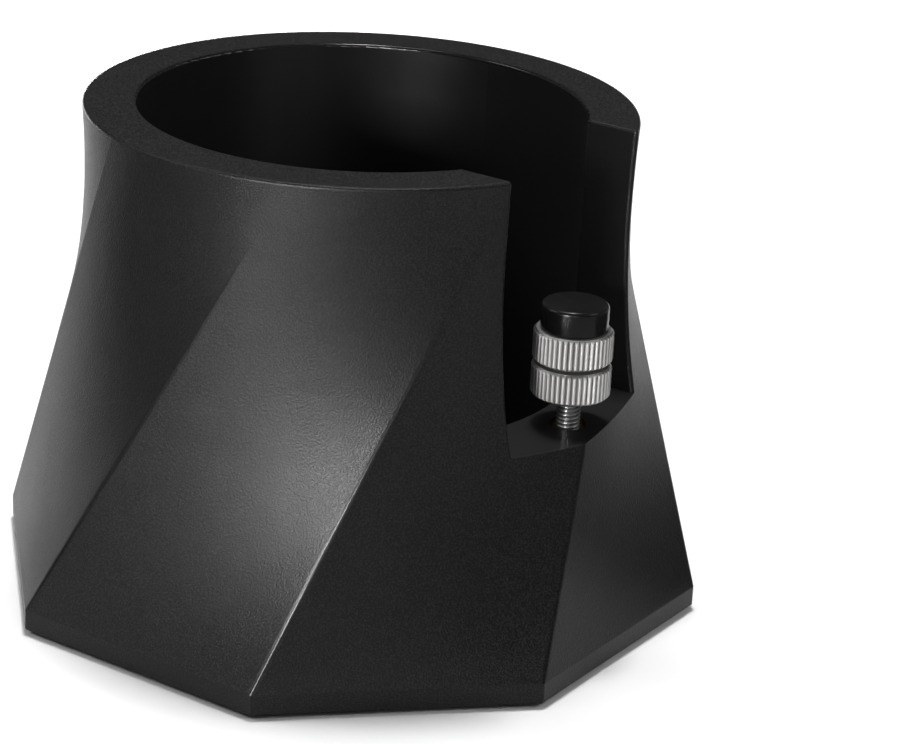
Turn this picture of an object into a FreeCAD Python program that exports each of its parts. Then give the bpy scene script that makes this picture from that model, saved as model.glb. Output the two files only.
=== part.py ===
import FreeCAD, Part
import math
import os

import Sketcher
from FreeCAD import Placement, Rotation, Vector

# Espresso tamping station, in millimetres. The origin is on the table under the middle of the bore.
# +Z is up, and the slot and the support post face -Y.

# Each row is a driving size: its name, its value and what it measures.
SIZES = [
    ("station_height", 81.6, "table to the top face of the ring"),
    ("foot_gap", 0.6, "height of the housing's lower rim above the table"),
    ("side_count", 8, "sides of the base"),
    ("base_corner_radius", 60.0, "axis to a corner of the base"),
    ("band_height", 3.6, "upright band below the facets"),
    ("band_chamfer", 0.3, "broken lower edges of the band"),
    ("ring_width", 8.6, "bore to the outside of the ring at the top"),
    ("facet_twist", 45.0, "turn of the facets from base to ring, degrees"),
    ("crease_round", 0.6, "round along the creases between facets"),
    ("edge_round", 0.5, "round on the edges of the ring and the slot"),
    ("wall", 2.6, "wall of the moulded housing"),
    ("bore_radius", 36.4, "inside of the bore"),
    ("bore_floor_height", 11.2, "table to the floor of the bore"),
    ("slot_width", 35.8, "between the slot's cheeks"),
    ("slot_floor_height", 37.4, "table to the ledge in the slot"),
    ("rib_count", 6, "radial ribs inside the housing"),
    ("rib_thickness", 1.6, "thickness of a rib"),
    ("rib_top_height", 62.0, "table to the top of the ribs"),
    ("cover_thickness", 2.4, "plate that closes the base"),
    ("cover_clearance", 0.25, "gap round the cover"),
    ("pad_thickness", 2.0, "soft pad under the cover"),
    ("pad_inset", 2.5, "cover's corner to the pad's corner"),
    ("pad_edge_round", 0.5, "round on the pad's lower edge"),
    ("weight_inset", 16.0, "corner of the base to the rim of the steel counterweight"),
    ("weight_thickness", 4.0, "thickness of the counterweight"),
    ("weight_chamfer", 0.5, "broken edges of the counterweight"),
    ("locating_gap", 0.3, "free space round and above the counterweight"),
    ("rail_width", 1.6, "rail on the cover round the counterweight"),
    ("rail_height", 3.0, "height of that rail"),
    ("screw_count", 4, "screws that hold the cover"),
    ("screw_inset", 10.0, "corner of the base to a cover screw"),
    ("screw_radius", 1.3, "shank of a cover screw"),
    ("screw_length", 12.0, "length of a cover screw with its head"),
    ("screw_head_radius", 2.7, "countersunk head"),
    ("screw_socket_radius", 0.9, "hexagon socket, to a corner"),
    ("screw_boss_radius", 3.6, "boss round a cover screw"),
    ("screw_boss_height", 14.0, "length of that boss"),
    ("screw_clearance", 0.05, "radial gap round a shank"),
    ("post_offset", 6.2, "bore to the axis of the support post"),
    ("rod_radius", 1.95, "outside of the M4 thread"),
    ("rod_length", 33.0, "threaded rod"),
    ("rod_chamfer", 0.4, "ends of the rod"),
    ("rod_reach", 3.0, "rod above the adjusting wheel"),
    ("thread_clearance", 0.05, "radial gap between the rod and what runs on it"),
    ("wheel_radius", 6.4, "knurled wheel"),
    ("wheel_height", 5.2, "height of a wheel"),
    ("wheel_chamfer", 0.45, "broken rims of a wheel"),
    ("wheel_rise", 5.2, "ledge to the lock wheel"),
    ("wheel_gap", 0.6, "between the two wheels"),
    ("flute_count", 44, "flutes of the straight knurl"),
    ("flute_depth", 0.36, "depth of a flute"),
    ("flute_width", 0.66, "width of a flute at the rim"),
    ("cap_radius", 5.4, "rubber cap"),
    ("cap_height", 4.3, "height of the cap"),
    ("cap_edge_round", 0.7, "round on the cap's top edge"),
    ("insert_radius", 3.0, "brass thread insert"),
    ("insert_length", 10.0, "length of the insert"),
    ("insert_sink", 1.0, "ledge to the top of the insert"),
    ("insert_groove_width", 2.0, "retaining groove round the insert"),
    ("insert_groove_depth", 0.4, "depth of that groove"),
    ("insert_clearance", 0.02, "radial gap round the insert"),
    ("post_boss_radius", 5.2, "boss round the insert"),
    ("post_boss_length", 20.0, "ledge to the lower end of that boss"),
    ("run_out_radius", 2.4, "clear hole for the rod under the insert"),
]

# Each row is a size that follows from those: its name, its formula and what it measures.
FOLLOWING = [
    ("ring_radius", "=bore_radius + ring_width", "outside of the ring at the top"),
    ("inner_corner_radius", "=base_corner_radius - wall / cos(180 / side_count)",
     "axis to a corner inside the housing's wall"),
    ("cover_corner_radius", "=inner_corner_radius - cover_clearance / cos(180 / side_count)",
     "axis to a corner of the cover"),
    ("pad_corner_radius", "=cover_corner_radius - pad_inset", "axis to a corner of the pad"),
    ("weight_radius", "=base_corner_radius - weight_inset", "steel counterweight disc"),
    ("screw_circle_radius", "=base_corner_radius - screw_inset", "axis to a cover screw"),
    ("screw_head_height", "=screw_head_radius - screw_radius", "height of the countersunk head"),
    ("post_radius", "=bore_radius + post_offset", "axis to the support post"),
]

HALF_TURN = 180.0
FULL_TURN = 360.0
INSERT_BASE = "sizes.slot_floor_height - sizes.insert_sink - sizes.insert_length"

doc = FreeCAD.newDocument("tamping_station")


def make_sheet():
    sheet = doc.addObject("Spreadsheet::Sheet", "sizes")
    for row, (name, value, note) in enumerate(SIZES + FOLLOWING, start=1):
        sheet.set(f"A{row}", name)
        sheet.set(f"B{row}", str(value))
        sheet.set(f"C{row}", note)
        sheet.setAlias(f"B{row}", name)
    doc.recompute()
    return sheet


sizes = make_sheet()


def bind(item, **formulas):
    """Tie properties of an object to formulas on the sheet's sizes."""
    for prop, formula in formulas.items():
        item.setExpression(prop.replace("__", "."), formula)
    return item


def corner_angle():
    """The base has a side, not a corner, on each axis."""
    return HALF_TURN / sizes.side_count


# Part objects: primitives and booleans for the moulded housing.

def cylinder(name, radius, height, base, x="0", y="0"):
    item = doc.addObject("Part::Cylinder", name)
    return bind(item, Radius=radius, Height=height,
                Placement__Base__x=x, Placement__Base__y=y, Placement__Base__z=base)


def box(name, length, width, height, x, y, z):
    item = doc.addObject("Part::Box", name)
    return bind(item, Length=length, Width=width, Height=height,
                Placement__Base__x=x, Placement__Base__y=y, Placement__Base__z=z)


def prism(name, radius, height, base):
    item = doc.addObject("Part::Prism", name)
    item.Placement = Placement(Vector(), Rotation(Vector(0, 0, 1), corner_angle()))
    return bind(item, Polygon="sizes.side_count", Circumradius=radius, Height=height,
                Placement__Base__z=base)


def cut(name, base, tool):
    item = doc.addObject("Part::Cut", name)
    item.Base = base
    item.Tool = tool
    return item


def fuse(name, items):
    item = doc.addObject("Part::MultiFuse", name)
    item.Shapes = items
    return item


def common(name, items):
    item = doc.addObject("Part::MultiCommon", name)
    item.Shapes = items
    return item


def ring_point(radius, angle, height):
    turn = math.radians(angle)
    return Vector(radius * math.cos(turn), radius * math.sin(turn), height)


def facet(corner_radius, ring_radius, low, high, angle):
    """One ruled facet: a side of the base, and the arc of the ring that its twist leads to."""
    step = FULL_TURN / sizes.side_count
    side = Part.LineSegment(ring_point(corner_radius, angle, low),
                            ring_point(corner_radius, angle + step, low))
    start = angle + sizes.facet_twist
    arc = Part.Arc(ring_point(ring_radius, start, high),
                   ring_point(ring_radius, start + step / 2, high),
                   ring_point(ring_radius, start + step, high))
    return side.toShape(), arc.toShape()


def twisted_form(name, corner_radius, ring_radius):
    """Closed solid whose walls are the twisted facets, from the band up to the ring."""
    low = sizes.foot_gap + sizes.band_height
    high = sizes.station_height
    step = FULL_TURN / sizes.side_count
    pairs = [facet(corner_radius, ring_radius, low, high, corner_angle() + step * index)
             for index in range(int(sizes.side_count))]
    faces = [Part.makeRuledSurface(side, arc) for side, arc in pairs]
    faces.append(Part.Face(Part.Wire([side for side, arc in pairs])))
    faces.append(Part.Face(Part.Wire([arc for side, arc in pairs])))
    shell = Part.makeShell(faces)
    shell.sewShape()
    solid = Part.makeSolid(shell)
    if solid.Volume < 0:
        solid.reverse()
    item = doc.addObject("Part::Feature", name)
    item.Shape = solid
    return item


def housing_outside():
    facets = twisted_form("facet_form", sizes.base_corner_radius, sizes.ring_radius)
    band = prism("base_band", "sizes.base_corner_radius", "sizes.band_height", "sizes.foot_gap")
    sharp = fuse("housing_sharp", [facets, band])
    return rounded("housing_outside", "Part::Fillet", sharp, crease, sizes.crease_round)


def hollow_limits():
    """The space inside the outer wall, up to the underside of the ring."""
    facets = twisted_form("hollow_facets", sizes.inner_corner_radius, sizes.ring_radius - sizes.wall)
    band = prism("hollow_band", "sizes.inner_corner_radius",
                 "sizes.band_height + sizes.foot_gap", "0")
    inside = fuse("hollow_inside", [facets, band])
    below_ring = cylinder("below_ring", "sizes.base_corner_radius",
                          "sizes.station_height - sizes.wall", "0")
    return common("hollow_limits", [inside, below_ring])


def web(name, angle, top):
    """A radial web at an angle, from under the bore's floor up to a height above the table."""
    item = box(name, "sizes.base_corner_radius", "sizes.rib_thickness",
               f"{top} - sizes.bore_floor_height + sizes.wall",
               f"sizes.rib_thickness / 2 * sin({angle})",
               f"-sizes.rib_thickness / 2 * cos({angle})", "sizes.bore_floor_height - sizes.wall")
    item.Placement = Placement(item.Placement.Base, Rotation(Vector(0, 0, 1), angle))
    return item


def rib(index):
    """A tall web between the cup and the outer wall. The first and last stand beside the slot."""
    spread = FULL_TURN / (sizes.rib_count + 1)
    return web(f"rib_{index}", -HALF_TURN / 2 + spread * (index + 1), "sizes.rib_top_height")


def screw_angles():
    """Cover screws stand under every second corner of the base."""
    step = FULL_TURN / sizes.screw_count
    return [corner_angle() + step * index for index in range(int(sizes.screw_count))]


def screw_place(angle):
    return (f"sizes.screw_circle_radius * cos({angle})", f"sizes.screw_circle_radius * sin({angle})")


def screw_boss(index, angle):
    x, y = screw_place(angle)
    return cylinder(f"screw_boss_{index}", "sizes.screw_boss_radius", "sizes.screw_boss_height",
                    "sizes.pad_thickness + sizes.cover_thickness", x, y)


def screw_web(index, angle):
    """The low web that ties a screw boss to the cup and the outer wall."""
    return web(f"screw_web_{index}", angle,
               "sizes.pad_thickness + sizes.cover_thickness + sizes.screw_boss_height")


def screw_pilot(index, angle):
    x, y = screw_place(angle)
    return cylinder(f"screw_pilot_{index}", "sizes.screw_radius + sizes.screw_clearance",
                    "sizes.screw_length", "sizes.pad_thickness", x, y)


def hollow():
    """What the mould's core takes out: the inside less the cup, the slot's walls, ribs and bosses."""
    cup = cylinder("cup_wall", "sizes.bore_radius + sizes.wall",
                   "sizes.station_height - sizes.bore_floor_height + sizes.wall",
                   "sizes.bore_floor_height - sizes.wall")
    cheeks = box("slot_walls", "sizes.slot_width + 2 * sizes.wall", "sizes.base_corner_radius",
                 "sizes.station_height - sizes.slot_floor_height + sizes.wall",
                 "-sizes.slot_width / 2 - sizes.wall", "-sizes.base_corner_radius",
                 "sizes.slot_floor_height - sizes.wall")
    post_boss = cylinder("post_boss", "sizes.post_boss_radius", "sizes.post_boss_length",
                         "sizes.slot_floor_height - sizes.post_boss_length", "0", "-sizes.post_radius")
    ribs = [rib(index) for index in range(int(sizes.rib_count))]
    bosses = [make(index, angle) for make in (screw_boss, screw_web)
              for index, angle in enumerate(screw_angles())]
    kept = fuse("kept_inside", [cup, cheeks, post_boss] + ribs + bosses)
    return cut("hollow", hollow_limits(), kept)


def openings():
    """The bore, the slot and the holes in the bosses."""
    bore = cylinder("bore", "sizes.bore_radius", "sizes.station_height", "sizes.bore_floor_height")
    slot = box("slot", "sizes.slot_width", "sizes.base_corner_radius", "sizes.station_height",
               "-sizes.slot_width / 2", "-sizes.base_corner_radius", "sizes.slot_floor_height")
    seat = cylinder("insert_seat", "sizes.insert_radius + sizes.insert_clearance",
                    "sizes.insert_length + sizes.insert_sink", INSERT_BASE, "0", "-sizes.post_radius")
    run_out = cylinder("run_out", "sizes.run_out_radius", "sizes.post_boss_length",
                       "sizes.slot_floor_height - sizes.post_boss_length", "0", "-sizes.post_radius")
    pilots = [screw_pilot(index, angle) for index, angle in enumerate(screw_angles())]
    return [bore, slot, seat, run_out] + pilots


def near(first, second, tolerance=0.02):
    return abs(first - second) < tolerance


def crease(edge):
    """Any edge between facets, between sides of the band, or between the two."""
    heights = [vertex.Z for vertex in edge.Vertexes]
    at_foot = all(near(height, sizes.foot_gap) for height in heights)
    at_top = all(near(height, sizes.station_height) for height in heights)
    return not at_foot and not at_top


def top_edge(edge):
    """An edge of the ring's top face."""
    return all(near(vertex.Z, sizes.station_height) for vertex in edge.Vertexes)


def slot_edge(edge):
    """An upright outer edge of a cheek, where the slot breaks out through the facets."""
    half = sizes.slot_width / 2
    outside = all(math.hypot(vertex.X, vertex.Y) > sizes.bore_radius + sizes.wall
                  for vertex in edge.Vertexes)
    on_cheek = all(near(abs(vertex.X), half) for vertex in edge.Vertexes)
    rises = abs(edge.Vertexes[0].Z - edge.Vertexes[-1].Z) > sizes.edge_round
    low = min(vertex.Z for vertex in edge.Vertexes)
    in_front = all(vertex.Y < 0 for vertex in edge.Vertexes)
    return outside and on_cheek and rises and in_front and low > sizes.slot_floor_height - sizes.wall


def band_edge(edge):
    """A lower edge of the band, outside or inside."""
    reach = sizes.base_corner_radius * math.cos(math.radians(corner_angle()))
    return all(near(vertex.Z, sizes.foot_gap) and math.hypot(vertex.X, vertex.Y) > reach
               for vertex in edge.Vertexes)


def rounded(name, kind, base, picks, radius):
    """Fillet or chamfer of the edges that a test picks."""
    doc.recompute()
    item = doc.addObject(kind, name)
    item.Base = base
    item.Edges = [(index, radius, radius) for index, edge in enumerate(base.Shape.Edges, start=1)
                  if len(edge.Vertexes) == 2 and picks(edge)]
    return item


def make_housing():
    outside = housing_outside()
    removed = fuse("removed", [hollow()] + openings())
    raw = cut("housing_raw", outside, removed)
    broken = rounded("housing_band", "Part::Chamfer", raw, band_edge, sizes.band_chamfer)
    housing = rounded("housing", "Part::Fillet", broken,
                      lambda edge: top_edge(edge) or slot_edge(edge), sizes.edge_round)
    return housing


# PartDesign bodies: the pieces that are turned, pressed or cut from sheet.

def new_body(label):
    body = doc.addObject("PartDesign::Body", label)
    body.Label = label
    return body


def new_sketch(body, name, height="0"):
    """A sketch level with the body's own base, or at a height above it."""
    sketch = body.newObject("Sketcher::SketchObject", name)
    plane = next(item for item in body.Origin.OriginFeatures if item.Role == "XY_Plane")
    sketch.AttachmentSupport = [(plane, "")]
    sketch.MapMode = "FlatFace"
    sketch.setExpression("AttachmentOffset.Base.z", height)
    return sketch


def dimension(sketch, formula, *constraint):
    """A constraint whose value is a formula on the sheet."""
    index = sketch.addConstraint(Sketcher.Constraint(*constraint))
    sketch.setExpression(f"Constraints[{index}]", formula)


def circle(sketch, radius, radius_formula, x_formula=None):
    """A circle on the sketch's centre, or on its X axis at a distance."""
    index = sketch.addGeometry(Part.Circle(Vector(0, 0, 0), Vector(0, 0, 1), radius), False)
    dimension(sketch, radius_formula, "Radius", index, radius)
    if x_formula is None:
        sketch.addConstraint(Sketcher.Constraint("Coincident", index, 3, -1, 1))
    else:
        sketch.addConstraint(Sketcher.Constraint("PointOnObject", index, 3, -1))
        dimension(sketch, x_formula, "DistanceX", -1, 1, index, 3, radius)
    return index


def polygon(sketch, radius, radius_formula, sides):
    """A regular polygon with one side square to the Y axis."""
    guide = sketch.addGeometry(Part.Circle(Vector(0, 0, 0), Vector(0, 0, 1), radius), True)
    sketch.addConstraint(Sketcher.Constraint("Coincident", guide, 3, -1, 1))
    dimension(sketch, radius_formula, "Radius", guide, radius)
    step = FULL_TURN / sides
    first = -HALF_TURN / 2 - step / 2
    corners = [ring_point(radius, first + step * index, 0) for index in range(sides)]
    lines = [sketch.addGeometry(Part.LineSegment(corners[index], corners[(index + 1) % sides]), False)
             for index in range(sides)]
    for index, line in enumerate(lines):
        sketch.addConstraint(Sketcher.Constraint("Coincident", line, 2, lines[(index + 1) % sides], 1))
        sketch.addConstraint(Sketcher.Constraint("PointOnObject", line, 1, guide))
        if index:
            sketch.addConstraint(Sketcher.Constraint("Equal", lines[0], line))
    sketch.addConstraint(Sketcher.Constraint("Horizontal", lines[0]))


def pad(body, sketch, name, length):
    item = body.newObject("PartDesign::Pad", name)
    item.Profile = sketch
    return bind(item, Length=length)


def pocket(body, sketch, name, length):
    """A pocket that cuts upwards from its sketch."""
    item = body.newObject("PartDesign::Pocket", name)
    item.Profile = sketch
    item.Reversed = True
    return bind(item, Length=length)


def dressed(body, kind, name, base, size_name, formula, picks):
    """A fillet or chamfer of the edges that a test picks on the last feature."""
    doc.recompute()
    item = body.newObject(kind, name)
    item.Base = (base, [f"Edge{index}" for index, edge in enumerate(base.Shape.Edges, start=1)
                        if picks(edge)])
    item.setExpression(size_name, formula)
    return item


def around_axis(body, name, feature, count):
    item = body.newObject("PartDesign::PolarPattern", name)
    item.Originals = [feature]
    axis = next(part for part in body.Origin.OriginFeatures if part.Role == "Z_Axis")
    item.Axis = (axis, [""])
    item.Angle = FULL_TURN
    item.setExpression("Occurrences", count)
    body.Tip = item
    return item


def rim(radius, height):
    """Test for the circular edge of a radius at a height in the piece's own frame."""
    def picks(edge):
        is_round = hasattr(edge.Curve, "Radius") and near(edge.Curve.Radius, radius)
        return is_round and near(edge.CenterOfMass.z, height)
    return picks


def both_rims(radius, height):
    """Test for the edges at the two ends of a round bar or disc."""
    return lambda edge: rim(radius, 0)(edge) or rim(radius, height)(edge)


def place(item, z_formula, y_formula="0"):
    return bind(item, Placement__Base__z=z_formula, Placement__Base__y=y_formula)


def stack_height(wheels):
    """Formula for the underside of the lock wheel, or of what stands that many wheels above it."""
    return (f"sizes.slot_floor_height + sizes.wheel_rise"
            f" + {wheels} * (sizes.wheel_height + sizes.wheel_gap)")


def make_pad():
    body = new_body("anti_slip_pad")
    sketch = new_sketch(body, "pad_outline")
    polygon(sketch, sizes.pad_corner_radius, "sizes.pad_corner_radius", int(sizes.side_count))
    sheet = pad(body, sketch, "pad_sheet", "sizes.pad_thickness")
    dressed(body, "PartDesign::Fillet", "pad_round", sheet, "Radius", "sizes.pad_edge_round",
            lambda edge: near(edge.CenterOfMass.z, 0))
    return body


def make_cover():
    body = new_body("base_cover")
    outline = new_sketch(body, "cover_outline")
    polygon(outline, sizes.cover_corner_radius, "sizes.cover_corner_radius", int(sizes.side_count))
    pad(body, outline, "cover_plate", "sizes.cover_thickness")
    rail = new_sketch(body, "rail_outline", "sizes.cover_thickness")
    inner = sizes.weight_radius + sizes.locating_gap
    circle(rail, inner, "sizes.weight_radius + sizes.locating_gap")
    circle(rail, inner + sizes.rail_width, "sizes.weight_radius + sizes.locating_gap + sizes.rail_width")
    pad(body, rail, "rail", "sizes.rail_height")
    hole = new_sketch(body, "screw_hole")
    hole.AttachmentOffset = Placement(Vector(), Rotation(Vector(0, 0, 1), corner_angle()))
    circle(hole, sizes.screw_radius, "sizes.screw_radius + sizes.screw_clearance",
           "sizes.screw_circle_radius")
    drilled = pocket(body, hole, "screw_hole_cut", "sizes.cover_thickness")
    sunk = dressed(body, "PartDesign::Chamfer", "screw_sink", drilled, "Size",
                   "sizes.screw_head_height", rim(sizes.screw_radius + sizes.screw_clearance, 0))
    item = around_axis(body, "screw_holes", drilled, "sizes.screw_count")
    item.Originals = [drilled, sunk]
    return place(body, "sizes.pad_thickness")


def make_weight():
    body = new_body("counterweight")
    sketch = new_sketch(body, "weight_outline")
    circle(sketch, sizes.weight_radius, "sizes.weight_radius")
    disc = pad(body, sketch, "weight_disc", "sizes.weight_thickness")
    dressed(body, "PartDesign::Chamfer", "weight_edges", disc, "Size", "sizes.weight_chamfer",
            both_rims(sizes.weight_radius, sizes.weight_thickness))
    return place(body, "sizes.pad_thickness + sizes.cover_thickness")


def make_wheel(label, z_formula):
    """A knurled wheel: a disc with broken rims, straight flutes and the threaded hole."""
    body = new_body(label)
    outline = new_sketch(body, f"{label}_outline")
    circle(outline, sizes.wheel_radius, "sizes.wheel_radius")
    disc = pad(body, outline, f"{label}_disc", "sizes.wheel_height")
    dressed(body, "PartDesign::Chamfer", f"{label}_rims", disc, "Size", "sizes.wheel_chamfer",
            both_rims(sizes.wheel_radius, sizes.wheel_height))
    hole = new_sketch(body, f"{label}_hole")
    circle(hole, sizes.rod_radius, "sizes.rod_radius + sizes.thread_clearance")
    pocket(body, hole, f"{label}_bore", "sizes.wheel_height")
    flute = new_sketch(body, f"{label}_flute")
    reach = sizes.wheel_radius + sizes.flute_depth
    inner = Vector(sizes.wheel_radius - sizes.flute_depth, 0, 0)
    left = Vector(reach, sizes.flute_width, 0)
    right = Vector(reach, -sizes.flute_width, 0)
    lines = [flute.addGeometry(Part.LineSegment(*ends), False)
             for ends in ((inner, left), (left, right), (right, inner))]
    for index, line in enumerate(lines):
        flute.addConstraint(Sketcher.Constraint("Coincident", line, 2, lines[(index + 1) % 3], 1))
    flute.addConstraint(Sketcher.Constraint("PointOnObject", lines[0], 1, -1))
    flute.addConstraint(Sketcher.Constraint("Vertical", lines[1]))
    dimension(flute, "sizes.wheel_radius - sizes.flute_depth", "DistanceX", -1, 1, lines[0], 1, inner.x)
    dimension(flute, "sizes.wheel_radius + sizes.flute_depth", "DistanceX", -1, 1, lines[1], 1, left.x)
    dimension(flute, "sizes.flute_width", "DistanceY", -1, 1, lines[1], 1, left.y)
    dimension(flute, "sizes.flute_width", "DistanceY", lines[1], 2, -1, 1, left.y)
    groove = pocket(body, flute, f"{label}_flute_cut", "sizes.wheel_height")
    around_axis(body, f"{label}_flutes", groove, "sizes.flute_count")
    return place(body, z_formula, "-sizes.post_radius")


def make_rod():
    body = new_body("threaded_rod")
    sketch = new_sketch(body, "rod_outline")
    circle(sketch, sizes.rod_radius, "sizes.rod_radius")
    bar = pad(body, sketch, "rod_bar", "sizes.rod_length")
    dressed(body, "PartDesign::Chamfer", "rod_ends", bar, "Size", "sizes.rod_chamfer",
            both_rims(sizes.rod_radius, sizes.rod_length))
    top_of_stack = stack_height(2) + " - sizes.wheel_gap"
    return place(body, top_of_stack + " + sizes.rod_reach - sizes.rod_length", "-sizes.post_radius")


def make_cap():
    body = new_body("support_cap")
    sketch = new_sketch(body, "cap_outline")
    circle(sketch, sizes.cap_radius, "sizes.cap_radius")
    block = pad(body, sketch, "cap_block", "sizes.cap_height")
    dressed(body, "PartDesign::Fillet", "cap_round", block, "Radius", "sizes.cap_edge_round",
            rim(sizes.cap_radius, sizes.cap_height))
    socket = new_sketch(body, "cap_socket")
    circle(socket, sizes.rod_radius, "sizes.rod_radius + sizes.thread_clearance")
    pocket(body, socket, "cap_hole", "sizes.rod_reach + sizes.thread_clearance")
    return place(body, stack_height(2) + " - sizes.wheel_gap", "-sizes.post_radius")


def make_insert():
    body = new_body("thread_insert")
    sketch = new_sketch(body, "insert_outline")
    circle(sketch, sizes.insert_radius, "sizes.insert_radius")
    circle(sketch, sizes.rod_radius, "sizes.rod_radius + sizes.thread_clearance")
    pad(body, sketch, "insert_tube", "sizes.insert_length")
    ring = new_sketch(body, "insert_groove", "(sizes.insert_length - sizes.insert_groove_width) / 2")
    circle(ring, sizes.insert_radius + sizes.wall, "sizes.insert_radius + sizes.wall")
    circle(ring, sizes.insert_radius - sizes.insert_groove_depth,
           "sizes.insert_radius - sizes.insert_groove_depth")
    pocket(body, ring, "insert_groove_cut", "sizes.insert_groove_width")
    return place(body, INSERT_BASE, "-sizes.post_radius")


def make_screw():
    """One countersunk cover screw, head down, in its own frame."""
    body = new_body("cover_screw")
    shank = new_sketch(body, "shank_outline")
    circle(shank, sizes.screw_radius, "sizes.screw_radius")
    pad(body, shank, "shank", "sizes.screw_length - sizes.screw_clearance")
    head = new_sketch(body, "head_outline")
    circle(head, sizes.screw_head_radius, "sizes.screw_head_radius")
    disc = pad(body, head, "head", "sizes.screw_head_height")
    dressed(body, "PartDesign::Chamfer", "head_cone", disc, "Size",
            "sizes.screw_head_height - sizes.screw_clearance",
            rim(sizes.screw_head_radius, sizes.screw_head_height))
    socket = new_sketch(body, "socket_outline")
    polygon(socket, sizes.screw_socket_radius, "sizes.screw_socket_radius", 6)
    pocket(body, socket, "socket", "sizes.screw_head_height / 2")
    return body


def make_screws():
    """Identical fasteners in one sub-part, a solid for each screw."""
    doc.recompute()
    pattern = make_screw()
    doc.recompute()
    copies = []
    for angle in screw_angles():
        spot = ring_point(sizes.screw_circle_radius, angle, sizes.pad_thickness)
        copy = pattern.Shape.copy()
        copy.Placement = Placement(spot, Rotation(Vector(0, 0, 1), angle))
        copies.append(copy)
    item = doc.addObject("Part::Feature", "cover_screws")
    item.Shape = Part.makeCompound(copies)
    return item


def make_all():
    return {
        "housing": make_housing(),
        "base_cover": make_cover(),
        "counterweight": make_weight(),
        "anti_slip_pad": make_pad(),
        "cover_screws": make_screws(),
        "thread_insert": make_insert(),
        "threaded_rod": make_rod(),
        "lock_wheel": make_wheel("lock_wheel", stack_height(0)),
        "adjusting_wheel": make_wheel("adjusting_wheel", stack_height(1)),
        "support_cap": make_cap(),
    }


def check(parts):
    for item in doc.Objects:
        if "Invalid" in item.State or "Error" in item.State:
            raise RuntimeError(f"{item.Name} did not compute: {item.State}")
    for name, item in parts.items():
        if item.Shape.isNull() or not item.Shape.isValid():
            raise RuntimeError(f"{name} has no valid shape")
        print(name, "solids", len(item.Shape.Solids), "volume", round(item.Shape.Volume, 1))


def export(parts):
    os.makedirs("parts", exist_ok=True)
    for name, item in parts.items():
        item.Label = name
        item.Shape.exportStep(f"parts/{name}.step")


station = make_all()
doc.recompute()
check(station)
export(station)
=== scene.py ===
# %% [markdown]
# # An espresso tamping station, dressed for its picture
# The object is a heavy black moulding with eight twisted facets, a round bore and a slot.
# In the slot stands a knurled post with a rubber cap, which screws up and down to carry a load.
# The shapes come from the construction model, so this lesson is about finishes, fine detail and light.

# %% The frame
import math

import bmesh
import bpy
from mathutils import Matrix, Vector


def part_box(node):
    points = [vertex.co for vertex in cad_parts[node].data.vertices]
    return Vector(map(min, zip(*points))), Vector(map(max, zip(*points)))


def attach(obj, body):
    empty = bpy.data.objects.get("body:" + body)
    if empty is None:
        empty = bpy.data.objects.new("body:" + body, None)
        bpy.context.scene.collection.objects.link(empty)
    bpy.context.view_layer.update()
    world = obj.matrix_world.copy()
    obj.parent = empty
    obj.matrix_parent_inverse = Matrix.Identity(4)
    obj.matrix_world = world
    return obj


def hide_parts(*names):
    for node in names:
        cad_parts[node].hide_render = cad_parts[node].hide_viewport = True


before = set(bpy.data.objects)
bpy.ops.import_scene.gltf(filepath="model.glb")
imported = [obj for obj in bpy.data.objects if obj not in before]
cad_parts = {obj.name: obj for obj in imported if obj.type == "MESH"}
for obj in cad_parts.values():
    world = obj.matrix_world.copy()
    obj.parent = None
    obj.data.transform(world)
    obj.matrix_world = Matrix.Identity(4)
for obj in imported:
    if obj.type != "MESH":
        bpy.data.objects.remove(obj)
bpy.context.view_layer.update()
MM = 0.001

# %% [markdown]
# ## Reading sizes off the frame
# Every detail below has to land on a construction piece, so its measures come from that piece's box.
# Typing the numbers in again would work today and go wrong after the first change of the model.
# A box can't give the housing's ring, bore, slot, ledge and band, so those five are typed in, once.

# %% Measures taken from the pieces
def height_range(node):
    """Lowest and highest Z of a construction node, in metres."""
    low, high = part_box(node)
    return low.z, high.z


def outside_radius(node):
    """Half the width of a construction node along X, in metres."""
    low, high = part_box(node)
    return (high.x - low.x) / 2


post_low, post_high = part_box("threaded_rod")
POST = Vector(((post_low.x + post_high.x) / 2, (post_low.y + post_high.y) / 2, 0))
AXIS = Vector((0, 0, 0))
SIDES = 8
SIDE_ANGLE = math.tau / SIDES

# The housing's finish counts in millimetres, and so do its measures.
TOP_MM = height_range("housing")[1] / MM
CORNER_MM = outside_radius("housing") / math.cos(SIDE_ANGLE / 2) / MM
RING_MM = 45.0
BORE_MM = 36.4
SLOT_HALF_MM = 17.9
LEDGE_MM = 37.4
BAND_TOP_MM = 4.2
print("post at", [round(value / MM, 2) for value in POST], "corner at", round(CORNER_MM, 2))

# %% [markdown]
# ## Nodes as Python expressions
# A procedural finish is mostly arithmetic on positions and noise.
# Wiring the Math nodes one by one hides that arithmetic, so a small class wraps a socket
# and turns plus, minus, times and divide into Math nodes.

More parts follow.
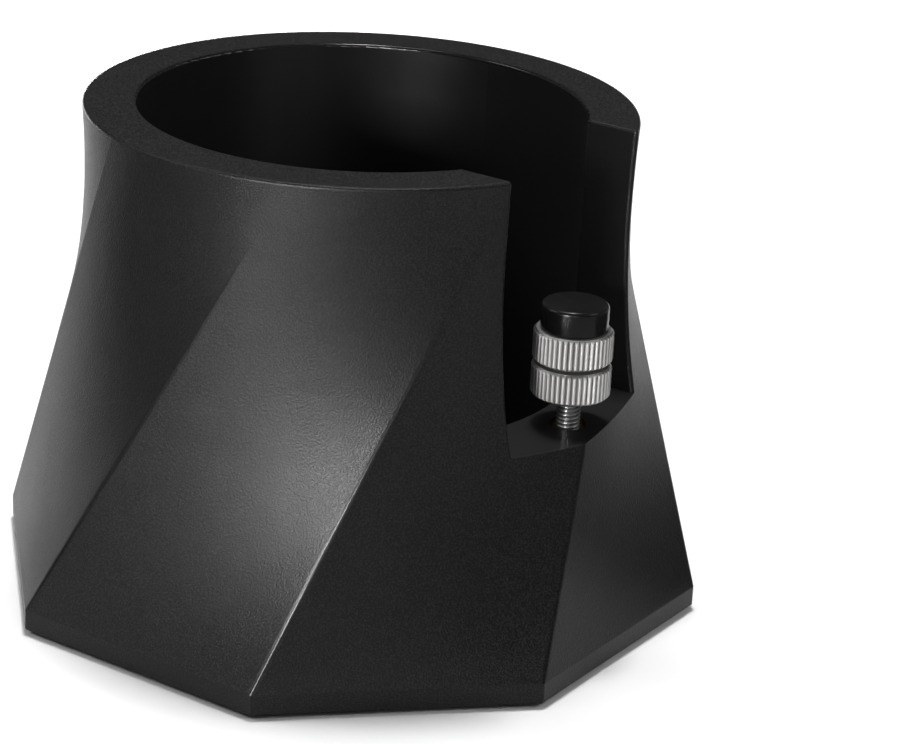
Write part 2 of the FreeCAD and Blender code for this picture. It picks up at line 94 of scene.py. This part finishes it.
# %% A number on a node
class Value:
    """A number that a node gives, for use in Python expressions."""

    def __init__(self, finish, socket):
        self.finish = finish
        self.socket = socket

    def math(self, operation, *others):
        return self.finish.number("ShaderNodeMath", {"operation": operation}, [self, *others])

    def __add__(self, other):
        return self.math("ADD", other)

    def __sub__(self, other):
        return self.math("SUBTRACT", other)

    def __mul__(self, other):
        return self.math("MULTIPLY", other)

    def __truediv__(self, other):
        return self.math("DIVIDE", other)

    def __rsub__(self, other):
        return self.finish.number("ShaderNodeMath", {"operation": "SUBTRACT"}, [other, self])

    __radd__ = __add__
    __rmul__ = __mul__

    def power(self, exponent):
        return self.math("POWER", exponent)

    def absolute(self):
        return self.math("ABSOLUTE")

    def fraction(self):
        return self.math("FRACT")

    def rise(self, start, end):
        """0 up to start, 1 from end on, and a smooth step between them."""
        settings = {"interpolation_type": "SMOOTHSTEP", "clamp": True}
        return self.finish.number("ShaderNodeMapRange", settings,
                                  {"Value": self, "From Min": start, "From Max": end}, "Result")


# %% [markdown]
# ## One finish, one object
# The Finish class holds a material with its Principled shader.
# Numbers that are the same all over go straight onto the shader's sockets,
# and whatever varies over the surface is linked. One method makes every other node.

# %% A finish
class Finish:
    """A material, its nodes and its Principled shader. Places are object coordinates in mm."""

    def __init__(self, name, **constants):
        self.material = bpy.data.materials.new(name)
        self.material.use_nodes = True
        self.tree = self.material.node_tree
        self.shader = self.tree.nodes["Principled BSDF"]
        for socket, value in constants.items():
            self.shader.inputs[socket.replace("_", " ")].default_value = value
        coordinates = self.node("ShaderNodeTexCoord")
        self.place = self.node("ShaderNodeVectorMath", {"operation": "SCALE"},
                               {0: coordinates.outputs["Object"], "Scale": 1 / MM}).outputs[0]
        axes = self.node("ShaderNodeSeparateXYZ", {}, [self.place])
        self.x, self.y, self.z = (Value(self, axes.outputs[axis]) for axis in "XYZ")

    def node(self, kind, settings=None, inputs=None):
        """A node of a kind. Its settings come first, then the values or links of its sockets."""
        made = self.tree.nodes.new(kind)
        for name, value in (settings or {}).items():
            setattr(made, name, value)
        pairs = inputs.items() if isinstance(inputs, dict) else enumerate(inputs or [])
        for key, value in pairs:
            self.feed(made.inputs[key], value)
        return made

    def feed(self, socket, value):
        """Link a Value or a socket to a socket, or set that to a plain value."""
        if isinstance(value, Value):
            self.tree.links.new(value.socket, socket)
        elif isinstance(value, bpy.types.NodeSocket):
            self.tree.links.new(value, socket)
        else:
            socket.default_value = value

    def number(self, kind, settings=None, inputs=None, output=0):
        return Value(self, self.node(kind, settings, inputs).outputs[output])

    def varies(self, socket, value):
        """Link what varies over the surface to a socket of the shader."""
        self.feed(self.shader.inputs[socket], value)


def grey(level, warmth=0.0):
    """A linear grey, a little warmer or cooler than neutral."""
    return (level * (1 + warmth), level, level * (1 - warmth), 1.0)


# %% [markdown]
# ## Helpers that every finish shares
# Noise is the workhorse: grain, mottling, smudges and turned lines are all noise at different scales.
# A bump needs a height in metres, and a mix of two colours stays a colour only through a Mix node.

# %% Noise, colour mixes and bumps
def noise(finish, size, detail=2.0, roughness=0.5, vector=None):
    """Noise from 0 to 1 whose features are about size millimetres across."""
    return finish.number("ShaderNodeTexNoise", {},
                         {"Vector": vector or finish.place, "Scale": 1 / size,
                          "Detail": detail, "Roughness": roughness}, "Fac")


def blend(finish, amount, first, second):
    """A colour that goes from first to second as amount goes from 0 to 1."""
    mix = finish.node("ShaderNodeMix", {"data_type": "RGBA"})
    for key, value in ((0, amount), (6, first), (7, second)):
        finish.feed(mix.inputs[key], value)
    return mix.outputs[2]


def bump(finish, height, depth):
    """Link a height from 0 to 1 to the shader's normal, depth being its full height in mm."""
    made = finish.node("ShaderNodeBump", {}, {"Height": height, "Distance": depth * MM,
                                              "Strength": 1.0})
    finish.varies("Normal", made.outputs["Normal"])


def radius_from(finish, centre):
    """Distance in mm from an upright axis."""
    across = finish.x - centre.x / MM
    along = finish.y - centre.y / MM
    return (across * across + along * along).power(0.5)


# %% [markdown]
# ## Creases that lean
# Eight creases run from the corners of the base up to the ring and lean over as they climb.
# A finish that follows them needs the distance to the nearest one.
# Marking edges on the mesh would work too, but a formula on the position leaves the mesh alone.

# %% Where the creases run
def crease_distance(finish, radius):
    """Distance in mm from the nearest crease, a straight line from a base corner to the ring.

    Each crease leans over by one side of the base, so its compass angle is that of a point
    which moves evenly from the corner to the end of the line.
    """
    share = (finish.z - BAND_TOP_MM) / (TOP_MM - BAND_TOP_MM)
    across = share * (RING_MM * math.sin(SIDE_ANGLE))
    along = share * (RING_MM * math.cos(SIDE_ANGLE) - CORNER_MM) + CORNER_MM
    lean = across.math("ARCTAN2", along)
    sides = (finish.y.math("ARCTAN2", finish.x) - lean) / SIDE_ANGLE
    return (sides.fraction() - 0.5).absolute() * radius * SIDE_ANGLE


# %% [markdown]
# ## The zones of the housing
# The tool is polished inside the bore and the slot, so those walls are darker and smoother.
# Wiping rubs the grain off the creases first, so each one ends up as a thin shiny line.
# The small round of the bore's lip comes smooth out of the mould, and the ring's face is matt.
# Masks on the position tell these zones apart: painting them would need an unwrapped surface.

# %% The housing's zones
# Where each mask starts and where it is full, in millimetres.
BORE_WALL = (BORE_MM + 0.05, BORE_MM + 0.15)
SLOT_WALL = (SLOT_HALF_MM + 0.02, SLOT_HALF_MM + 0.12)
SLOT_SIDE = (20.0, 21.0)
LEDGE = (LEDGE_MM - 0.1, LEDGE_MM - 0.02)
LIP_EDGE = (BORE_MM + 0.45, BORE_MM + 0.6)
LIP_FOOT = (TOP_MM - 0.62, TOP_MM - 0.5)
FACETS = (RING_MM - 1.0, RING_MM - 0.6)
BAND_EDGE = (BAND_TOP_MM - 0.2, BAND_TOP_MM + 0.2)
CREASE_FADE = (45.0, 75.0)
CREASE_EDGE = (0.2, 0.6)
RING_FACE = (TOP_MM - 0.1, TOP_MM - 0.03)


def housing_zones(finish):
    """Masks from 0 to 1 for the polished walls, the lip, the worn creases and the ring's face."""
    radius = radius_from(finish, AXIS)
    inside_bore = 1 - radius.rise(*BORE_WALL)
    in_slot_width = 1 - finish.x.absolute().rise(*SLOT_WALL)
    in_front = (finish.y * -1).rise(*SLOT_SIDE)
    above_ledge = finish.z.rise(*LEDGE)
    polished = inside_bore.math("MAXIMUM", in_slot_width * in_front * above_ledge)
    lip = (1 - radius.rise(*LIP_EDGE)) * finish.z.rise(*LIP_FOOT)
    outside = radius.rise(*FACETS) * finish.z.rise(*BAND_EDGE)
    below_ring = 1 - finish.z.rise(*CREASE_FADE)
    worn = (1 - crease_distance(finish, radius).rise(*CREASE_EDGE)) * outside * below_ring
    return polished, lip, worn, finish.z.rise(*RING_FACE)


print("creases fade between", CREASE_FADE, "mm up, ring face from", round(RING_FACE[0], 2), "mm")

# %% [markdown]
# ## The housing's moulded plastic
# The real housing is black plastic with a fine, sand-like spark-eroded grain.
# The grain breaks the reflections into a soft sheen and shows as tiny light and dark specks.
# One noise gives the specks, the roughness and the relief, so that they agree with each other.

# %% Housing plastic
GRAIN_SIZE = 0.28
GRAIN_DEPTH = 0.07
CLOUD_SIZE = 9.0
WARMTH = 0.01
WORN_ROUGHNESS = 0.31
LIP_ROUGHNESS = 0.16


def housing_finish():
    finish = Finish("housing plastic", IOR=1.45, Specular_IOR_Level=0.2)
    polished, lip, worn, ring_face = housing_zones(finish)
    grain = noise(finish, GRAIN_SIZE, detail=2.0, roughness=0.55)
    cloud = noise(finish, CLOUD_SIZE, detail=3.0)
    speck = grain.rise(0.42, 0.66)
    dark = blend(finish, cloud, grey(0.0025, WARMTH), grey(0.0035, WARMTH))
    light = blend(finish, cloud, grey(0.0125, WARMTH), grey(0.0155, WARMTH))
    skin = blend(finish, speck, dark, light)
    finish.varies("Base Color", blend(finish, polished, skin, grey(0.014)))
    matte = grain * 0.3 + cloud * 0.05 + 0.2
    smooth = cloud * 0.08 + 0.30
    level = matte + (smooth - matte) * polished
    rubbed = level + (WORN_ROUGHNESS - level) * worn
    finish.varies("Roughness", rubbed + (LIP_ROUGHNESS - rubbed) * lip + ring_face * 0.12)
    relief = (1 - polished * 0.9) * (1 - lip.math("MAXIMUM", worn) * 0.95) * (1 - ring_face * 0.4)
    bump(finish, grain * relief, GRAIN_DEPTH)
    return finish.material


housing_plastic = housing_finish()
print("housing finish has", len(housing_plastic.node_tree.nodes), "nodes")

# %% [markdown]
# ## The base cover's plastic
# The cover is the same plastic from a plainer tool: an even satin with faint flow marks.
# It shows only as a narrow rim round the pad from below, so two noises are enough.

# %% Cover plastic
def cover_finish():
    finish = Finish("cover plastic", IOR=1.5)
    flow = noise(finish, 14.0, detail=4.0)
    fine = noise(finish, 0.5, detail=2.0)
    finish.varies("Base Color", blend(finish, flow, grey(0.013), grey(0.02)))
    finish.varies("Roughness", fine * 0.1 + flow * 0.08 + 0.38)
    bump(finish, fine, 0.015)
    return finish.material


cover_plastic = cover_finish()
print("cover finish has", len(cover_plastic.node_tree.nodes), "nodes")

# %% [markdown]
# ## Steel and brass
# Turned metal shows rings round its axis, so its noise is read along the radius and not in x and y.
# The colour is darkened in the grooves of a thread and of a knurl as painted shade, and the crests keep
# the metal's own colour.
# Blanked plate shows straight rolling lines instead, so its noise is stretched along one axis.

# %% Metals
BRASS = (0.66, 0.46, 0.2, 1.0)
TURNED_DEPTH = 0.004


def turned_metal(name, colour, centre, roughness, line=0.05, groove=None):
    """Metal turned on an upright axis: fine rings and smudges.

    A groove is the radius of its root and of its crest, in mm, and painted shade darkens the colour
    between them.
    """
    finish = Finish(name, Metallic=1.0)
    radius = radius_from(finish, centre)
    along = finish.node("ShaderNodeCombineXYZ", {}, [radius / line, finish.z / line, 0.0])
    rings = finish.number("ShaderNodeTexNoise", {},
                          {"Vector": along.outputs[0], "Scale": 1.0, "Detail": 2.0}, "Fac")
    smudge = noise(finish, 3.0, detail=3.0)
    paler = tuple(min(1.0, level * 1.12) for level in colour[:3]) + (1.0,)
    surface = blend(finish, smudge, colour, paler)
    if groove:
        root, crest = groove
        # Painted shade: the colour darkens towards the root of each groove, between root and crest.
        groove_shade = (1 - radius.rise(root + 0.06, crest - 0.08)) * radius.rise(root - 0.1, root - 0.05)
        surface = blend(finish, groove_shade * 0.55, surface, grey(0.03))
    finish.varies("Base Color", surface)
    finish.varies("Roughness", rings * 0.14 + smudge * 0.1 + roughness)
    bump(finish, rings, TURNED_DEPTH)
    return finish.material


def plate_finish():
    """Blanked steel plate with rolling lines along X."""
    finish = Finish("weight steel", Metallic=1.0)
    stretched = finish.node("ShaderNodeVectorMath", {"operation": "MULTIPLY"},
                            [finish.place, (0.05, 4.0, 1.0)])
    lines = noise(finish, 1.0, detail=3.0, vector=stretched.outputs[0])
    cloud = noise(finish, 12.0, detail=4.0)
    finish.varies("Base Color", blend(finish, cloud, grey(0.36, 0.01), grey(0.48, 0.02)))
    finish.varies("Roughness", lines * 0.2 + cloud * 0.1 + 0.3)
    bump(finish, lines, 0.006)
    return finish.material


weight_steel = plate_finish()
screw_steel = turned_metal("screw steel", grey(0.46, 0.01), AXIS, 0.28)
insert_brass = turned_metal("insert brass", BRASS, POST, 0.26)
rod_steel = turned_metal("rod steel", grey(0.3, 0.01), POST, 0.2, line=0.12,
                         groove=(1.55, 1.95))
wheel_steel = turned_metal("wheel nickel", grey(0.38, 0.015), POST, 0.3, line=0.06,
                           groove=(6.04, 6.4))
print("metals made:", [metal.name for metal in (weight_steel, screw_steel, insert_brass,
                                                rod_steel, wheel_steel)])

# %% [markdown]
# ## Silicone and rubber
# The pad is a matte silicone sheet with dust in its fine press mark.
# The cap comes from a polished mould, so its gloss varies only with smudges.
# Both get dark greys and not black, because black shows no form.

# %% Rubbers
def pad_finish():
    finish = Finish("pad rubber", IOR=1.42)
    dust = noise(finish, 5.0, detail=5.0, roughness=0.65)
    press = noise(finish, 0.4, detail=1.0)
    finish.varies("Base Color", blend(finish, dust.rise(0.5, 0.8), grey(0.012), grey(0.028)))
    finish.varies("Roughness", dust * 0.15 + press * 0.08 + 0.6)
    bump(finish, press, 0.03)
    return finish.material


def cap_finish():
    finish = Finish("cap rubber", IOR=1.5, Specular_IOR_Level=0.12)
    skin = noise(finish, 0.25, detail=2.0)
    smudge = noise(finish, 2.2, detail=3.0)
    finish.varies("Base Color", blend(finish, smudge, grey(0.006), grey(0.011)))
    finish.varies("Roughness", skin * 0.05 + smudge * 0.1 + 0.16)
    bump(finish, skin, 0.006)
    return finish.material


pad_rubber = pad_finish()
cap_rubber = cap_finish()
print("rubbers made:", pad_rubber.name, "and", cap_rubber.name)

# %% [markdown]
# ## Dressing the construction pieces
# Each of the ten nodes has one material slot, and its own mesh stays as it is.
# A table of names is easier to check against the real object than ten separate statements.

# %% Each construction piece gets its finish
FINISH_OF = {
    "housing": housing_plastic,
    "base_cover": cover_plastic,
    "counterweight": weight_steel,
    "anti_slip_pad": pad_rubber,
    "cover_screws": screw_steel,
    "thread_insert": insert_brass,
    "threaded_rod": rod_steel,
    "adjusting_wheel": wheel_steel,
    "lock_wheel": wheel_steel,
    "support_cap": cap_rubber,
}
for name, material in FINISH_OF.items():
    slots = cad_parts[name].data.materials
    slots.clear()
    slots.append(material)
print("nodes dressed:", len(FINISH_OF))

# %% [markdown]
# ## New pieces
# A shape that the construction model leaves plain is made here with bmesh operators.
# Each one is made where it belongs in the frame, so its object stays at the origin, unturned.

# %% Turning a bmesh into a piece
def finish_piece(name, bm, node, body, material, smooth_angle=40):
    """A piece from a bmesh, in place of a construction node."""
    bmesh.ops.remove_doubles(bm, verts=bm.verts, dist=1e-7)
    bmesh.ops.recalc_face_normals(bm, faces=bm.faces)
    limit = math.radians(smooth_angle)
    for edge in bm.edges:
        edge.smooth = edge.is_manifold and edge.calc_face_angle(0) < limit
    for face in bm.faces:
        face.smooth = True
    mesh = bpy.data.meshes.new(name)
    bm.to_mesh(mesh)
    bm.free()
    piece = bpy.data.objects.new(name, mesh)
    bpy.context.scene.collection.objects.link(piece)
    mesh.materials.append(material)
    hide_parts(node)
    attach(piece, body)
    print(name, "faces", len(mesh.polygons))


# %% [markdown]
# ## The threaded rod
# The construction model has the rod as a plain bar, because a thread adds thousands of faces there.
# On the real rod a rolled M4 thread catches the light as a row of bright beads.
# Spinning a V profile while it climbs gives a true helix, and one bisect at each end cuts it to length.

# %% Threaded rod
THREAD_PITCH = 0.7 * MM
THREAD_DEPTH = 0.40 * MM
CREST_EASE = 0.04 * MM
STEPS_PER_TURN = 36


def thread_profile(bm, radius, base):
    """One pitch of the thread, root, flank, crest and flank, as radii and shares of the pitch."""
    root, eased = radius - THREAD_DEPTH, radius - CREST_EASE
    points = [(root, 0.0), (root, 0.12), (eased, 0.46), (radius, 0.51),
              (radius, 0.59), (eased, 0.64), (root, 1.0)]
    verts = [bm.verts.new((reach, 0, base + THREAD_PITCH * share)) for reach, share in points]
    return [bm.edges.new(pair) for pair in zip(verts, verts[1:])]


def threaded_rod():
    low, high = height_range("threaded_rod")
    turns = math.ceil((high - low) / THREAD_PITCH) + 2
    bm = bmesh.new()
    profile = thread_profile(bm, outside_radius("threaded_rod"), low - THREAD_PITCH * 1.5)
    bmesh.ops.spin(bm, geom=profile, cent=AXIS, axis=(0, 0, 1),
                   dvec=(0, 0, THREAD_PITCH / STEPS_PER_TURN), angle=math.tau * turns,
                   steps=turns * STEPS_PER_TURN, use_merge=False, use_duplicate=False)
    bmesh.ops.remove_doubles(bm, verts=bm.verts, dist=0.004 * MM)
    for height, side in ((low, -1), (high, 1)):
        cut = bmesh.ops.bisect_plane(bm, geom=bm.verts[:] + bm.edges[:] + bm.faces[:], dist=1e-8,
                                     plane_co=(0, 0, height), plane_no=(0, 0, side),
                                     clear_outer=True)
        rim = [item for item in cut["geom_cut"] if isinstance(item, bmesh.types.BMEdge)]
        bmesh.ops.holes_fill(bm, edges=rim)
    bmesh.ops.translate(bm, vec=POST, verts=bm.verts)
    finish_piece("rod_thread", bm, "threaded_rod", "spindle", rod_steel, 50)


threaded_rod()

# %% [markdown]
# ## The knurled wheels
# Both wheels are turned from bar and rolled with a straight knurl of 44 teeth.
# In the picture each tooth is a soft bright line, because rolled teeth have round crests.
# A ring of points is pulled in at every groove, then extruded up, with the rims turned off as cones.

# %% Rings of a knurled wheel
TEETH = 44


def set_ring(bm, verts, radius, height):
    """Scale some points of a ring to a radius and lift them to a height."""
    scale = radius / verts[0].co.to_2d().length
    bmesh.ops.scale(bm, vec=(scale, scale, 1), verts=verts)
    bmesh.ops.translate(bm, vec=(0, 0, height - verts[0].co.z), verts=verts)


def in_groove(vert):
    """True for the middle point of a groove: every third point, from the X axis on."""
    pitches = math.atan2(vert.co.y, vert.co.x) / math.tau * TEETH
    return abs(pitches - round(pitches)) < 0.1


def next_ring(bm, edges, crest, groove):
    """Extrude a ring to one radius and height at its crests and another at its grooves."""
    made = bmesh.ops.extrude_edge_only(bm, edges=edges)["geom"]
    verts = [item for item in made if isinstance(item, bmesh.types.BMVert)]
    set_ring(bm, [vert for vert in verts if not in_groove(vert)], *crest)
    set_ring(bm, [vert for vert in verts if in_groove(vert)], *groove)
    return [item for item in made if isinstance(item, bmesh.types.BMEdge)]


print("one tooth takes", round(360 / TEETH, 2), "degrees")

# %% Knurled wheels
KNURL_DEPTH = 0.36 * MM
WHEEL_CHAMFER = 0.45 * MM
BORE_CHAMFER = 0.3 * MM
CREST_ROUND = 0.11 * MM
RUNNING_GAP = 0.05 * MM


def knurled_wheel(name, node, body):
    low, high = height_range(node)
    height = high - low
    radius = outside_radius(node)
    bore = outside_radius("threaded_rod") + RUNNING_GAP
    mouth = bore + BORE_CHAMFER
    rim = radius - WHEEL_CHAMFER
    root = radius - KNURL_DEPTH
    dip = WHEEL_CHAMFER - KNURL_DEPTH
    plain_rings = [(rim, height), (mouth, height), (bore, height - BORE_CHAMFER),
                   (bore, BORE_CHAMFER), (mouth, 0)]
    levels = [((radius, WHEEL_CHAMFER), (root, dip)),
              ((radius, height - WHEEL_CHAMFER), (root, height - dip)),
              *((plain, plain) for plain in plain_rings)]
    bm = bmesh.new()
    bmesh.ops.create_circle(bm, segments=TEETH * 3, radius=rim)
    first = ring = bm.edges[:]
    for crest, groove in levels:
        ring = next_ring(bm, ring, crest, groove)
    bmesh.ops.bridge_loops(bm, edges=first + ring)
    ridges = [edge for edge in bm.edges
              if all(vert.co.to_2d().length > radius - 0.01 * MM for vert in edge.verts)
              and abs(edge.verts[0].co.z - edge.verts[1].co.z) > height / 2]
    bmesh.ops.bevel(bm, geom=ridges, offset=CREST_ROUND, offset_type="OFFSET", segments=3,
                    profile=0.5, affect="EDGES", material=-1, clamp_overlap=True)
    bmesh.ops.translate(bm, vec=POST + Vector((0, 0, low)), verts=bm.verts)
    finish_piece(name, bm, node, body, wheel_steel, 30)


knurled_wheel("adjusting_knurl", "adjusting_wheel", "spindle")
knurled_wheel("lock_knurl", "lock_wheel", "lock")

# %% [markdown]
# ## The rubber cap
# The cap is pushed over the end of the rod, so that the load meets rubber and not steel.
# It is a turned shape: half of its section is drawn with a few points and spun once round.
# Its top edge is bevelled with several segments, because that round carries the glint.

# %% Rubber cap
CAP_STEPS = 72
CAP_TOP_ROUND = 0.7 * MM
CAP_FOOT_ROUND = 0.2 * MM
SAME = 0.001 * MM


def rubber_cap():
    low, high = height_range("support_cap")
    radius = outside_radius("support_cap")
    socket = outside_radius("threaded_rod") + RUNNING_GAP
    socket_top = height_range("threaded_rod")[1] + RUNNING_GAP
    section = [(0, socket_top), (socket, socket_top), (socket, low), (radius, low),
               (radius, high), (0, high)]
    bm = bmesh.new()
    verts = [bm.verts.new((reach, 0, height)) for reach, height in section]
    outline = [bm.edges.new(pair) for pair in zip(verts, verts[1:])]
    bmesh.ops.spin(bm, geom=outline, cent=AXIS, axis=(0, 0, 1), angle=math.tau,
                   steps=CAP_STEPS, use_merge=True, use_duplicate=False)
    bmesh.ops.remove_doubles(bm, verts=bm.verts, dist=SAME)
    for height, size in ((high, CAP_TOP_ROUND), (low, CAP_FOOT_ROUND)):
        rim = [edge for edge in bm.edges
               if all(abs(vert.co.to_2d().length - radius) < SAME
                      and abs(vert.co.z - height) < SAME for vert in edge.verts)]
        bmesh.ops.bevel(bm, geom=rim, offset=size, offset_type="OFFSET", segments=6, profile=0.5,
                        affect="EDGES", material=-1, clamp_overlap=True)
    bmesh.ops.translate(bm, vec=POST, verts=bm.verts)
    finish_piece("cap_moulding", bm, "support_cap", "cap", cap_rubber)


rubber_cap()

# %% [markdown]
# ## The floor
# A plain white floor shows the shadow where the object stands.
# Near the object the lamps and a faint room light reach it. Farther out it glows by itself, so that
# it stays white up to the horizon in a low view without one more lamp on the object.

# %% Floor and surroundings
FLOOR_SIZE = 40.0
GLOW_RADII_MM = (200.0, 900.0)
GLOW = 0.8
ROOM_LIGHT = 0.1


def flat_sheet(name, material, left, right, near, far, height):
    """A level sheet at a height, between two X and two Y values, all in metres."""
    bm = bmesh.new()
    bmesh.ops.create_grid(bm, x_segments=1, y_segments=1, size=0.5)
    bmesh.ops.scale(bm, vec=(right - left, far - near, 1), verts=bm.verts)
    bmesh.ops.translate(bm, vec=((left + right) / 2, (near + far) / 2, height), verts=bm.verts)
    mesh = bpy.data.meshes.new(name)
    bm.to_mesh(mesh)
    bm.free()
    sheet = bpy.data.objects.new(name, mesh)
    bpy.context.scene.collection.objects.link(sheet)
    mesh.materials.append(material)
    return sheet


paper = Finish("floor paper", Roughness=0.9, Specular_IOR_Level=0.1, Emission_Strength=1.0)
paper_tone = noise(paper, 400.0, detail=1.0)
paper.varies("Base Color", blend(paper, paper_tone, grey(0.93), grey(0.95)))
glowing = radius_from(paper, AXIS).rise(*GLOW_RADII_MM)
paper.varies("Emission Color", blend(paper, glowing, grey(0.0), grey(GLOW)))
reach = FLOOR_SIZE / 2
floor = flat_sheet("floor", paper.material, -reach, reach, -reach, reach, 0)

world = bpy.data.worlds.new("studio")
bpy.context.scene.world = world
world.use_nodes = True
room = world.node_tree.nodes["Background"]
room.inputs["Color"].default_value = grey(1.0)
room.inputs["Strength"].default_value = ROOM_LIGHT
bpy.context.scene.view_settings.view_transform = "Standard"
print("floor", FLOOR_SIZE, "m wide, room light", ROOM_LIGHT)

# %% [markdown]
# ## The lamps
# Black plastic is drawn by what it reflects: each sheen on a facet is the mirror image of a lamp.
# The same lamps would also wash out the shadow where the base meets the floor.
# So some lamps show only in gloss, one lights only matt surfaces, and each is set by itself.

# %% Lamps
def bearing(angle, distance, height):
    """A place at a compass angle round the object, in degrees from the X axis, and metres."""
    turn = math.radians(angle)
    return Vector((distance * math.cos(turn), distance * math.sin(turn), height))


def soft_lamp(name, place, target, width, height, power, beam=180, role="both"):
    """A rectangular softbox at a place, facing a target, in metres and watts.

    Its role is to light matt surfaces ("matt"), to show in glossy ones ("gloss"), or both.
    """
    lamp = bpy.data.lights.new(name, "AREA")
    lamp.shape = "RECTANGLE"
    lamp.size, lamp.size_y = width, height
    lamp.energy = power
    lamp.spread = math.radians(beam)
    box = bpy.data.objects.new(name, lamp)
    bpy.context.scene.collection.objects.link(box)
    box.matrix_world = (Matrix.Translation(place)
                        @ (target - place).to_track_quat("-Z", "Y").to_matrix().to_4x4())
    box.visible_camera = False
    box.visible_diffuse = role != "gloss"
    box.visible_glossy = role != "matt"


MIDDLE = Vector((0, 0, 0.04))
soft_lamp("overhead", bearing(33, 0.07, 0.7), bearing(33, 0.07, 0), 0.1, 0.1, 3.7)
soft_lamp("overhead left", bearing(90, 0.16, 0.7), bearing(90, 0.16, 0), 0.12, 0.12, 0.55)
soft_lamp("far", bearing(33, 0.6, 0.6), bearing(33, 0.6, 0), 0.4, 0.4, 1.45, 120, "matt")
soft_lamp("front pool", bearing(192, 0.26, 0.25), bearing(192, 0.26, 0), 0.06, 0.06, 0.5, 36)
soft_lamp("front left", bearing(188, 0.7, 0.21), MIDDLE, 0.1, 0.1, 2.15, 90, "gloss")
soft_lamp("front left, low", bearing(183, 0.7, 0.08), MIDDLE, 0.15, 0.12, 0.3, 90, "gloss")
soft_lamp("front", bearing(217, 0.7, 0.17), MIDDLE, 0.06, 0.1, 0.07, 60, "gloss")
soft_lamp("left", bearing(125, 0.6, 0.5), MIDDLE, 0.3, 0.3, 0.36, 90)
soft_lamp("right", bearing(-75, 0.6, 0.5), MIDDLE, 0.3, 0.3, 0.28, 90)
soft_lamp("back", bearing(42, 0.7, 0.035), MIDDLE, 0.25, 0.06, 0.8, 90, "gloss")
soft_lamp("back left", bearing(70, 0.5, 0.035), MIDDLE, 0.2, 0.06, 0.12, 120, "gloss")
soft_lamp("below", bearing(0, 0, -0.6), MIDDLE, 0.6, 0.6, 9.0)
print("lamps", len(bpy.data.lights))

# %% [markdown]
# ## Black flags
# In a studio, black cloth beside a black object keeps its sides from mirroring the white table.
# Each flag here is a flat card just over the floor that shows only in reflections.
# It shades nothing, so the floor stays white.

# %% Flags
FLAG_HEIGHT = 0.2 * MM

black_cloth = Finish("flag cloth", Roughness=0.9, Specular_IOR_Level=0.0)
black_cloth.varies("Base Color", blend(black_cloth, noise(black_cloth, 3.0), grey(0.0), grey(0.004)))


def flag(name, *sides):
    """A flat card just over the floor, between two X and two Y values in metres."""
    card = flat_sheet(name, black_cloth.material, *sides, FLAG_HEIGHT)
    card.visible_camera = card.visible_diffuse = card.visible_shadow = False
    print(name, "between", sides)


flag("left flag", -0.15, -0.033, 0.06, 0.42)
flag("right flag", 0.04, 0.4, -0.35, -0.062)

# %% [markdown]
# ## The camera
# The picture was taken from a little above, on the slot's left, with a long lens and slightly tilted.
# Those numbers come from matching the ring and the corners of the base, and are set as one matrix.

# %% Camera
CAMERA_PLACE = Vector((-373.0, -267.8, 214.5)) * MM
HEADING = Vector((0.8325, 0.5540, 0)).normalized()
PITCH_DOWN = math.radians(21.27)
ROLL = math.radians(2.94)
LENS = 117.87
SENSOR_WIDTH = 36.0
NEAREST, FARTHEST = 0.01, 20.0

forward = HEADING * math.cos(PITCH_DOWN) - Vector((0, 0, math.sin(PITCH_DOWN)))
level_right = forward.cross(Vector((0, 0, 1))).normalized()
level_up = level_right.cross(forward)
right = level_right * math.cos(ROLL) + level_up * math.sin(ROLL)
up = level_up * math.cos(ROLL) - level_right * math.sin(ROLL)
camera_data = bpy.data.cameras.new("camera")
camera_data.sensor_width = SENSOR_WIDTH
camera_data.lens = LENS
camera_data.clip_start, camera_data.clip_end = NEAREST, FARTHEST
camera = bpy.data.objects.new("camera", camera_data)
bpy.context.scene.collection.objects.link(camera)
turn = Matrix((right, up, -forward)).transposed().to_4x4()
camera.matrix_world = Matrix.Translation(CAMERA_PLACE) @ turn
bpy.context.scene.camera = camera
print("camera at", [round(value, 4) for value in CAMERA_PLACE], "lens", LENS)
